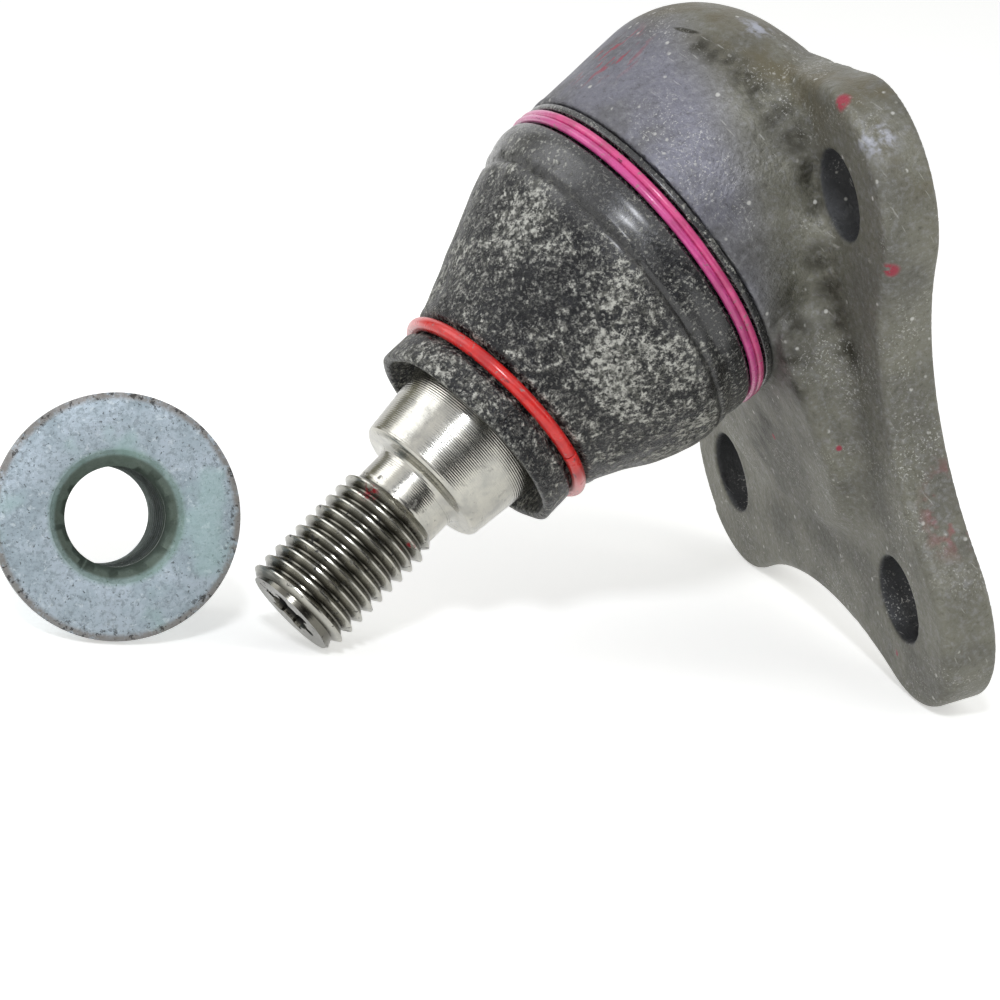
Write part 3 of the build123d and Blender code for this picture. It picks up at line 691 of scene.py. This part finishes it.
def housing_skin():
    target = frame["nodes"]["housing_forging"]
    bm = with_modifiers(merged_copy("housing_forging"), [
        ("REMESH", {"mode": "VOXEL", "voxel_size": SKIN_VOXEL, "use_smooth_shade": True}),
        ("SHRINKWRAP", {"target": target, "wrap_method": "NEAREST_SURFACEPOINT"}),
    ])
    soft = [vert for vert in bm.verts if near_hole(vert.co) is None
            and vert.co.dot(FLANGE_NORMAL) < -TRUE_BACK
            and (CUP_FRAME.inverted() @ vert.co).z < CUP_MOUTH_FROM]
    for _ in range(SKIN_PASSES):
        bmesh.ops.smooth_vert(bm, verts=soft, factor=0.5, use_axis_x=True, use_axis_y=True, use_axis_z=True)
    bm.normal_update()
    low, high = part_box("housing_forging")
    for vert in soft:
        vert.co = forge_skin(vert.co, vert.normal, low, high)
    for vert in bm.verts:
        hole = near_hole(vert.co)
        if hole is not None:
            vert.co = true_hole(vert.co, hole)
    made = piece("housing_skin", bm, forged_steel(), 60.0)
    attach(made, "housing")
    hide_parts("housing_forging")


# ------------------------------------------------------------------ threads
THREAD_PITCH = 1.5
THREAD_FLAT = 0.17       # width of the flat crest and of the flat root
THREAD_STEPS = 96        # round one turn


def thread_outline(root, crest):
    """One turn's outline: half a root, flank, crest, flank, half a root."""
    half = THREAD_FLAT / 2
    rise = (THREAD_PITCH - 2 * THREAD_FLAT) / 2
    return [(root, 0.0), (root, half), (crest, half + rise), (crest, THREAD_FLAT * 1.5 + rise),
            (root, THREAD_PITCH - half), (root, THREAD_PITCH)]


def thread_surface(root, crest, start, end, limit):
    """Helical thread between two heights, its radius held inside the limits for each height."""
    turns = math.ceil((end - start) / THREAD_PITCH) + 2
    outline = [(r, h + start - THREAD_PITCH) for r, h in thread_outline(root, crest)]
    bm = turned(outline, steps=THREAD_STEPS * turns, sweep=math.tau * turns, rise=THREAD_PITCH * turns)
    for vert in bm.verts:
        low, high = limit(vert.co.z / MM)
        radius = math.hypot(vert.co.x, vert.co.y)
        wanted = min(max(radius, low * MM), high * MM)
        vert.co.x *= wanted / radius
        vert.co.y *= wanted / radius
    for height, side in ((start, -1), (end, 1)):
        bmesh.ops.bisect_plane(bm, geom=bm.verts[:] + bm.edges[:] + bm.faces[:], dist=1e-8,
                               plane_co=(0, 0, height * MM), plane_no=(0, 0, side), clear_outer=True)
    return bm


# ------------------------------------------------------------------ ball stud
BALL_R = 12.5
BALL_FLAT_R = 3.5        # flat turned on the back of the ball
NECK_R = 6.2
SHANK = ((NECK_R, 10.85), (NECK_R, 15.0, 1.5), (9.0, 20.5, 0.8), (9.0, 32.4, 1.0),
         (7.78, 43.2, 0.75), (5.1, 43.2, 0.9), (5.1, 46.7, 0.15))
THREAD_ROOT_R = 5.06
THREAD_CREST_R = 5.93
THREAD_FROM = 46.9
RUN_OUT_SLOPE = 0.9
TIP_SLOPE = 1.1
STUD_END = 62.6
TIP_R = 5.06
KEY_CORE_R = 2.45
KEY_BULB_R = 0.7
KEY_BULB_AT = 2.75
KEY_STEPS = 96
KEY_STAGES = ((0.25, 0.96), (4.5, 1.0), (0.25, 0.86))    # depth of each stage and its share of the width


def stud_thread_limit(height):
    """The thread runs out into the relief and is chamfered at the tip."""
    run_out = THREAD_ROOT_R + max(height - THREAD_FROM, 0.0) * RUN_OUT_SLOPE
    tip = TIP_R + max(STUD_END - height, 0.0) * TIP_SLOPE
    return THREAD_ROOT_R, max(min(run_out, tip, THREAD_CREST_R), THREAD_ROOT_R)


def key_radius(angle):
    """Six lobes: the core's radius, or the bulb's edge where a bulb stands further out."""
    nearest = (angle + math.pi / 6) % (math.pi / 3) - math.pi / 6
    inside = KEY_BULB_R ** 2 - (KEY_BULB_AT * math.sin(nearest)) ** 2
    if inside <= 0:
        return KEY_CORE_R
    return max(KEY_CORE_R, KEY_BULB_AT * math.cos(nearest) + math.sqrt(inside))


def key_socket(bm, rim):
    """Closes the tip with a face that has a six-lobe socket in it."""
    circle = bmesh.ops.create_circle(bm, segments=KEY_STEPS, radius=KEY_CORE_R * MM, cap_ends=False)
    mouth = circle["verts"]
    for vert in mouth:
        angle = math.atan2(vert.co.y, vert.co.x)
        radius = key_radius(angle) * MM
        vert.co = (radius * math.cos(angle), radius * math.sin(angle), STUD_END * MM)
    lip = sorted({edge for vert in mouth for edge in vert.link_edges}, key=lambda edge: edge.index)
    bmesh.ops.triangle_fill(bm, edges=rim + lip, use_beauty=True, normal=(0, 0, 1))
    for depth, shrink in KEY_STAGES:
        walls = bmesh.ops.extrude_edge_only(bm, edges=lip)["geom"]
        lip = [item for item in walls if isinstance(item, bmesh.types.BMEdge)]
        floor = list({vert for edge in lip for vert in edge.verts})
        bmesh.ops.scale(bm, vec=(shrink, shrink, 1), verts=floor)
        bmesh.ops.translate(bm, vec=(0, 0, -depth * MM), verts=floor)
    bmesh.ops.edgeloop_fill(bm, edges=lip)


def ball_stud():
    neck = math.degrees(math.acos(NECK_R / BALL_R))
    back = -math.degrees(math.acos(BALL_FLAT_R / BALL_R))
    sphere = arc(BALL_R, back, neck, 40)
    shank = rounded([*SHANK, (THREAD_ROOT_R, THREAD_FROM)], 6)
    bm = turned([Vector((0, sphere[0].y))] + sphere + shank[1:])
    shank_rim = rim_loop(bm, THREAD_FROM)
    old = set(shank_rim)
    take_in(bm, thread_surface(THREAD_ROOT_R, THREAD_CREST_R, THREAD_FROM, STUD_END, stud_thread_limit))
    thread_rim = [edge for edge in rim_loop(bm, THREAD_FROM) if edge not in old]
    bmesh.ops.bridge_loops(bm, edges=shank_rim + thread_rim)
    key_socket(bm, rim_loop(bm, STUD_END))
    facing_out(bm)
    bm.transform(STUD_FRAME)
    made = piece("turned_stud", bm, turned_steel(), 32.0)
    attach(made, "stud")
    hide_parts("ball_stud")


# ------------------------------------------------------------------ flange nut
NUT_MINOR_R = 5.19
NUT_MAJOR_R = 6.0
NUT_BORE_WALL_R = 5.25   # every face of the plain bore is nearer the axis than this
NUT_THREAD_GAP = 0.05    # left at each end of the bore for the thread to join the countersink
NUT_EDGE_ROUND = 0.42
NUT_EDGE_ANGLE = 24      # outer edges sharper than this are rounded
NUT_OUTER_EDGES_R = 6.0


def nut_thread_limit(height):
    """The thread fades into the countersinks at both ends of the bore."""
    inward = min(-height, NUT_BORE_LENGTH + height)
    return NUT_MINOR_R, NUT_MINOR_R + min(max(inward, 0.0), NUT_MAJOR_R - NUT_MINOR_R)


def flange_nut():
    bm = merged_copy("flange_nut")
    bm.transform(NUT_FRAME.inverted())
    bmesh.ops.dissolve_limit(bm, angle_limit=math.radians(1.0), verts=bm.verts, edges=bm.edges)
    corners = [edge for edge in bm.edges if len(edge.link_faces) == 2
               and edge.calc_face_angle(0.0) > math.radians(NUT_EDGE_ANGLE)
               and all(math.hypot(vert.co.x, vert.co.y) > NUT_OUTER_EDGES_R * MM for vert in edge.verts)]
    bmesh.ops.bevel(bm, geom=corners, offset=NUT_EDGE_ROUND * MM, offset_type="OFFSET", segments=4,
                    profile=0.5, affect="EDGES", material=-1, clamp_overlap=True)
    bore = [face for face in bm.faces
            if all(math.hypot(vert.co.x, vert.co.y) < NUT_BORE_WALL_R * MM for vert in face.verts)]
    bmesh.ops.delete(bm, geom=bore, context="FACES")
    rims = open_edges(bm)
    old = set(rims)
    take_in(bm, thread_surface(NUT_MINOR_R, NUT_MAJOR_R, -NUT_BORE_LENGTH + NUT_THREAD_GAP,
                               -NUT_THREAD_GAP, nut_thread_limit))
    added = [edge for edge in open_edges(bm) if edge not in old]
    for upper in (False, True):
        pair = [edge for edge in rims + added
                if (edge.verts[0].co.z > -NUT_BORE_LENGTH / 2 * MM) == upper]
        bmesh.ops.bridge_loops(bm, edges=pair)
    facing_out(bm)
    bm.transform(NUT_FRAME)
    made = piece("plated_nut", bm, zinc_steel(), 30.0)
    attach(made, "nut")
    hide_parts("flange_nut")


# ------------------------------------------------------------------ sealing boot
BODY_START = 12.7
BODY_END = 29.1
SEAM = 18.6              # height at which the two halves of the boot meet
SAG_HEADING = math.radians(-60.0)
BOOT_WALL = 1.3
BOOT_TURN_STEPS = 208
BODY = ((BODY_START, 19.0, 0.0), (14.7, 18.8, 0.6), (17.3, 18.15, 0.95), (19.9, 17.1, 1.0),
        (22.7, 15.9, 0.85), (25.7, 14.4, 0.55), (BODY_END, 12.9, 0.0))   # height, radius, sag
ROW = 0.3                # height of one row of the body's outline
OUTSIDE_DEPTH = 0.8      # points less deep than this lie on the outside
CREASE_AT = 14.75
CREASE_DEPTH = 0.32
CREASE_WIDTH = 0.32
CREASE_WANDER = 0.5
FIRST_FREE = 13.0        # the rubber is dented above this height, and the bead below it is true
LAST_FREE = 29.4
DENTS = ((160, 0.22), (520, 0.07))     # noise per metre and depth in millimetres, wide and fine
LIP_FROM = 33.2
LIP_TO = 36.0
LIP_WAVE = 0.45
LIP_WAVE_MOST = 0.12
BEAD = ((17.25, 9.0), (17.25, 7.0, 0.3), (19.35, 7.0, 0.35), (19.35, 7.85, 0.25), (18.3, 7.95, 0.15),
        (18.3, 10.2, 0.15), (19.25, 10.2, 0.4), (19.3, 11.6, 0.5), (19.0, BODY_START))
BEAD_INSIDE = ((17.3, BODY_START), (17.9, 12.6, 0.3), (17.9, 10.7, 0.2), (17.25, 10.7, 0.2),
               (17.25, 9.1))
COLLAR = ((12.9, BODY_END), (12.65, 30.2, 0.5), (11.3, 30.6, 0.35), (11.3, 32.4, 0.35),
          (12.0, 32.8, 0.5), (12.1, 36.2, 0.45), (11.1, 36.2, 0.35), (10.3, 33.4, 1.2),
          (9.3, 32.5, 0.5), (9.3, 30.45, 0.4), (12.9 - BOOT_WALL, BODY_END))


def body_at(height, column):
    """Radius or sag of the boot's body at a height, on a smooth curve through its stations."""
    height = min(max(height, BODY_START), BODY_END)
    last = len(BODY) - 1
    index = max(i for i in range(last) if BODY[i][0] <= height or i == 0)
    here, ahead = BODY[index], BODY[index + 1]
    before, after = BODY[max(index - 1, 0)], BODY[min(index + 2, last)]
    span = ahead[0] - here[0]
    share = (height - here[0]) / span
    slope_here = (ahead[column] - before[column]) / (ahead[0] - before[0]) * span
    slope_ahead = (after[column] - here[column]) / (after[0] - here[0]) * span
    square = share * share
    cube = share ** 3
    return ((2 * cube - 3 * square + 1) * here[column] + (cube - 2 * square + share) * slope_here
            + (3 * square - 2 * cube) * ahead[column] + (cube - square) * slope_ahead)


def body_rows(low, high, inset=0.0):
    """Outline of the boot's body between two heights, drawn in by an inset."""
    count = max(round(abs(high - low) / ROW), 1)
    heights = [low + (high - low) * step / count for step in range(count + 1)]
    return [Vector((body_at(h, 1) - inset, h)) for h in heights]


def boot_bend(place):
    """Swings and sags a point of the straight boot into the way the boot lies."""
    height = place.z / MM
    share = min(max((height - BODY_START) / (BODY_END - BODY_START), 0.0), 1.0)
    sag = body_at(height, 2) * MM
    shifted = place + Vector((math.cos(SAG_HEADING) * sag, math.sin(SAG_HEADING) * sag, 0))
    turn = Matrix.Rotation(REST_TILT * share, 4, SWING_AXIS)
    return BALL + turn.to_3x3() @ (CUP_FRAME.to_3x3() @ shifted)


def dent(place):
    """How far a point of the boot's outside stands off its true form, in millimetres."""
    height = place.z / MM
    out = Vector((place.x, place.y, 0)).normalized()
    free = (smooth_step(height, FIRST_FREE, FIRST_FREE + 1.5)
            * smooth_step(height, LAST_FREE, LAST_FREE - 1.4))
    (wide_rate, wide), (fine_rate, fine) = DENTS
    waves = noise.noise(place * wide_rate + out * 3) * wide + noise.noise(place * fine_rate) * fine
    wander = noise.noise(out * 1.6 + Vector((3, 3, 3))) * CREASE_WANDER
    crease = CREASE_DEPTH * math.exp(-((height - CREASE_AT - wander) / CREASE_WIDTH) ** 2)
    lip = smooth_step(height, LIP_FROM, LIP_TO) * (noise.noise(out * 2.2 + Vector((7, 1, 3))) * LIP_WAVE)
    return (waves - crease) * free + min(lip, LIP_WAVE_MOST)


def boot_half(name, outline, rubber):
    """Half of the boot, turned from an outline, dented on its outside and bent into the way the boot lies."""
    bm = turned(outline, closed=True, steps=BOOT_TURN_STEPS)
    facing_out(bm)
    for vert in bm.verts:
        out = Vector((vert.co.x, vert.co.y, 0))
        skin = body_at(vert.co.z / MM, 1) * MM - out.length
        if skin < OUTSIDE_DEPTH * MM or vert.co.z > BODY_END * MM:
            vert.co += out.normalized() * dent(vert.co) * MM
        vert.co = boot_bend(vert.co)
    made = piece(name, bm, rubber, 50.0)
    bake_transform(made)
    return made


def sealing_boot():
    rubber = boot_rubber()
    large = rounded(BEAD)
    large += body_rows(BODY_START, SEAM)[1:] + body_rows(SEAM, BODY_START, BOOT_WALL)
    large += rounded(BEAD_INSIDE)[1:]
    small = body_rows(SEAM, BODY_END)
    small += rounded(COLLAR)[1:]
    small += body_rows(BODY_END, SEAM, BOOT_WALL)[1:]
    first = boot_half("boot_large_end", large, rubber)
    boot_half("boot_small_end", small, rubber)
    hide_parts("sealing_boot")


# ------------------------------------------------------------------ spring rings
WIRE_STEP = 2.5          # degrees from one section of a wire to the next
LARGE_RING = (19.02, 8.57)             # radius and height of the wire's centre
LARGE_WIRE_R = 0.45
LARGE_RING_RISE = 0.86   # from its first turn to its second
LARGE_RING_HEADING = math.radians(170.0)
LARGE_RUBBED = ((100.0, 6.0), (-70.0, 3.0))              # heading and reach
SMALL_RING = (12.05, 31.5)
SMALL_WIRE_R = 0.75
SMALL_RING_HEADING = math.radians(-17.0)
SMALL_RUBBED = ((112.0, 5.0), (-48.0, 4.0))
WIRE_END_ROUND = 0.12


def wire(centre, radius, spans, sides):
    """Round wire bent round Z; each span is (sweep in degrees, rise in millimetres)."""
    bm = bmesh.new()
    ring = bmesh.ops.create_circle(bm, segments=sides, radius=radius * MM, cap_ends=True)["verts"]
    bmesh.ops.rotate(bm, cent=(0, 0, 0), matrix=Matrix.Rotation(math.pi / 2, 3, "X"), verts=ring)
    bmesh.ops.translate(bm, vec=Vector((centre[0], 0, centre[1])) * MM, verts=ring)
    section = list({face for vert in ring for face in vert.link_faces})
    for sweep, rise in spans:
        steps = max(round(abs(sweep) / WIRE_STEP), 1)
        last = bmesh.ops.spin(bm, geom=section, axis=(0, 0, 1), cent=(0, 0, 0), angle=math.radians(sweep),
                              steps=steps, dvec=(0, 0, rise * MM / steps))["geom_last"]
        section = [item for item in last if isinstance(item, bmesh.types.BMFace)]
    return bm


def large_spring_ring():
    """Two turns of thin pink wire in the groove of the boot's bead."""
    split = LARGE_RING[1] + LARGE_RING_RISE / 2
    rubbed = [(on_axis(CUP_FRAME, heading, 19.0, 9.0), reach) for heading, reach in LARGE_RUBBED]
    pink = painted_wire("pink_paint", CUP_FRAME, srgb(222, 78, 140), srgb(214, 76, 148), split,
                        srgb(222, 140, 180), rubbed)
    bm = wire(LARGE_RING, LARGE_WIRE_R, [(352.0, 0.0), (8.0, LARGE_RING_RISE), (351.5, 0.0)], 18)
    facing_out(bm)
    bm.transform(CUP_FRAME @ Matrix.Rotation(LARGE_RING_HEADING, 4, "Z"))
    made = piece("large_spring_ring", bm, pink, 50.0)
    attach(made, "housing")
    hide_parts("boot_ring_large")


def small_spring_ring():
    """One turn of thicker red wire, its two ends nearly touching."""
    rubbed = [(on_axis(STUD_FRAME, heading, 12.0, 31.5), reach) for heading, reach in SMALL_RUBBED]
    red = painted_wire("red_paint", STUD_FRAME, srgb(218, 34, 30), srgb(218, 34, 30), SMALL_RING[1],
                       srgb(240, 150, 150), rubbed)
    bm = wire(SMALL_RING, SMALL_WIRE_R, [(359.3, 0.0)], 28)
    ends = [edge for edge in bm.edges if edge.calc_face_angle(0.0) > math.radians(60)]
    bmesh.ops.bevel(bm, geom=ends, offset=WIRE_END_ROUND * MM, offset_type="OFFSET", segments=2,
                    profile=0.5, affect="EDGES", material=-1)
    facing_out(bm)
    bm.transform(STUD_FRAME @ Matrix.Rotation(SMALL_RING_HEADING, 4, "Z"))
    made = piece("small_spring_ring", bm, red, 50.0)
    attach(made, "collar")
    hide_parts("boot_ring_small")


# ------------------------------------------------------------------ floor, light and camera
CAMERA_AT = Vector((-150.607, -329.297, 71.460)) * MM
CAMERA_LOOK = Vector((0.31800, 0.91295, -0.25574))
CAMERA_UP = Vector((-0.03705, 0.28150, 0.95884))
CAMERA_LENS = 119.16
FLOOR_GLOW = 0.5
FLOOR_REACH = 3.0
WORLD_LIGHT = 0.42
LAMPS = (                # name, place and aim in metres, size, watts, colour
    ("lamp_top", (-0.27, -0.50, 0.43), (-0.03, 0.0, 0.0), 0.10, 1.9, (0.92, 0.94, 1.0)),
    ("lamp_left", (-0.55, 0.15, 0.45), (-0.02, 0.0, 0.0), 0.5, 1.2, (0.97, 0.98, 1.0)),
    ("lamp_right", (0.45, -0.30, 0.40), (0.0, 0.0, 0.0), 0.5, 0.7, (1.0, 0.97, 0.90)),
)
CARDS = (                # name, place and aim in metres, width, height, colour
    ("dark_card", (0.04, -0.48, 0.085), (-0.04, 0.0, -0.01), 0.72, 0.24, (14, 14, 17)),
    ("blue_card", (-0.275, -0.31, 0.31), (-0.04, 0.0, -0.01), 0.09, 0.40, (84, 90, 108)),
    ("cream_card", (-0.27, 0.38, 0.17), (-0.05, 0.0, 0.0), 0.14, 0.40, (132, 129, 102)),
)


def seen_rays(tree):
    """One for rays that show the background: straight, mirrored or through glass."""
    path = tree.nodes.new("ShaderNodeLightPath")
    total = path.outputs["Is Camera Ray"]
    for kind in ("Is Glossy Ray", "Is Transmission Ray"):
        node = tree.nodes.new("ShaderNodeMath")
        node.operation = "MAXIMUM"
        tree.links.new(total, node.inputs[0])
        tree.links.new(path.outputs[kind], node.inputs[1])
        total = node.outputs[0]
    return total


def studio_world():
    world = bpy.data.worlds.new("studio")
    bpy.context.scene.world = world
    world.use_nodes = True
    tree = world.node_tree
    tree.nodes.clear()
    shown = tree.nodes.new("ShaderNodeBackground")
    light = tree.nodes.new("ShaderNodeBackground")
    shown.inputs["Color"].default_value = (1.0, 1.0, 1.0, 1.0)
    shown.inputs["Strength"].default_value = 1.0
    light.inputs["Color"].default_value = (0.97, 0.98, 1.0, 1.0)
    light.inputs["Strength"].default_value = WORLD_LIGHT
    mixed = tree.nodes.new("ShaderNodeMixShader")
    out = tree.nodes.new("ShaderNodeOutputWorld")
    tree.links.new(seen_rays(tree), mixed.inputs[0])
    tree.links.new(light.outputs[0], mixed.inputs[1])
    tree.links.new(shown.outputs[0], mixed.inputs[2])
    tree.links.new(mixed.outputs[0], out.inputs["Surface"])


def studio_floor():
    bm = bmesh.new()
    bmesh.ops.create_grid(bm, x_segments=1, y_segments=1, size=FLOOR_REACH)
    bmesh.ops.translate(bm, vec=(0, 0, cad_box[0][2]), verts=bm.verts)
    floor = linked("floor", bm)
    paper = bpy.data.materials.new("white_paper")
    paper.use_nodes = True
    tree = paper.node_tree
    shader = tree.nodes["Principled BSDF"]
    shader.inputs["Base Color"].default_value = srgb(250, 250, 247)
    shader.inputs["Roughness"].default_value = 0.9
    shader.inputs["Specular IOR Level"].default_value = 0.1
    shader.inputs["Emission Color"].default_value = (1.0, 1.0, 0.985, 1.0)
    glow = tree.nodes.new("ShaderNodeMath")
    glow.operation = "MULTIPLY"
    glow.inputs[1].default_value = FLOOR_GLOW
    tree.links.new(seen_rays(tree), glow.inputs[0])
    tree.links.new(glow.outputs[0], shader.inputs["Emission Strength"])
    floor.data.materials.append(paper)


def mirror_cards():
    """Cards that only mirrors see; they draw the dark, blue and cream bands on bright metal."""
    for name, place, aim, width, height, colour in CARDS:
        bm = bmesh.new()
        bmesh.ops.create_grid(bm, x_segments=1, y_segments=1, size=0.5)
        bmesh.ops.scale(bm, vec=(width, height, 1.0), verts=bm.verts)
        facing = (Vector(aim) - Vector(place)).to_track_quat("-Z", "Y").to_matrix().to_4x4()
        bmesh.ops.transform(bm, matrix=Matrix.Translation(place) @ facing, verts=bm.verts)
        card = linked(name, bm)
        surface = bpy.data.materials.new(name)
        surface.use_nodes = True
        surface.node_tree.nodes["Principled BSDF"].inputs["Base Color"].default_value = srgb(*colour)
        card.data.materials.append(surface)
        card.visible_camera = False
        card.visible_diffuse = False
        card.visible_shadow = False
        card.visible_transmission = False


def lamps():
    for name, place, aim, size, power, colour in LAMPS:
        lamp = bpy.data.lights.new(name, "AREA")
        lamp.shape = "DISK"
        lamp.size = size
        lamp.energy = power
        lamp.color = colour
        holder = bpy.data.objects.new(name, lamp)
        bpy.context.scene.collection.objects.link(holder)
        holder.location = place
        holder.rotation_euler = (Vector(aim) - Vector(place)).to_track_quat("-Z", "Y").to_euler()


def camera():
    lens = bpy.data.cameras.new("camera")
    lens.lens = CAMERA_LENS
    lens.sensor_width = 36.0
    lens.clip_start = 0.01
    lens.clip_end = 20.0
    holder = bpy.data.objects.new("camera", lens)
    bpy.context.scene.collection.objects.link(holder)
    side = CAMERA_LOOK.cross(CAMERA_UP).normalized()
    up = side.cross(CAMERA_LOOK).normalized()
    holder.matrix_world = (Matrix.Translation(CAMERA_AT)
                           @ Matrix((side, up, -CAMERA_LOOK.normalized())).transposed().to_4x4())
    bpy.context.scene.camera = holder


def finish_inner_parts():
    """Plastic and steel on the two solids that are shown as they were made."""
    for node, material in (("bearing_shell", bearing_plastic()), ("closing_ring", ring_steel())):
        mesh = frame["nodes"][node].data
        mesh.materials.clear()
        mesh.materials.append(material)


camera()
housing_skin()
ball_stud()
sealing_boot()
large_spring_ring()
small_spring_ring()
flange_nut()
finish_inner_parts()
studio_world()
studio_floor()
mirror_cards()
lamps()
bpy.context.scene.view_settings.view_transform = "Standard"
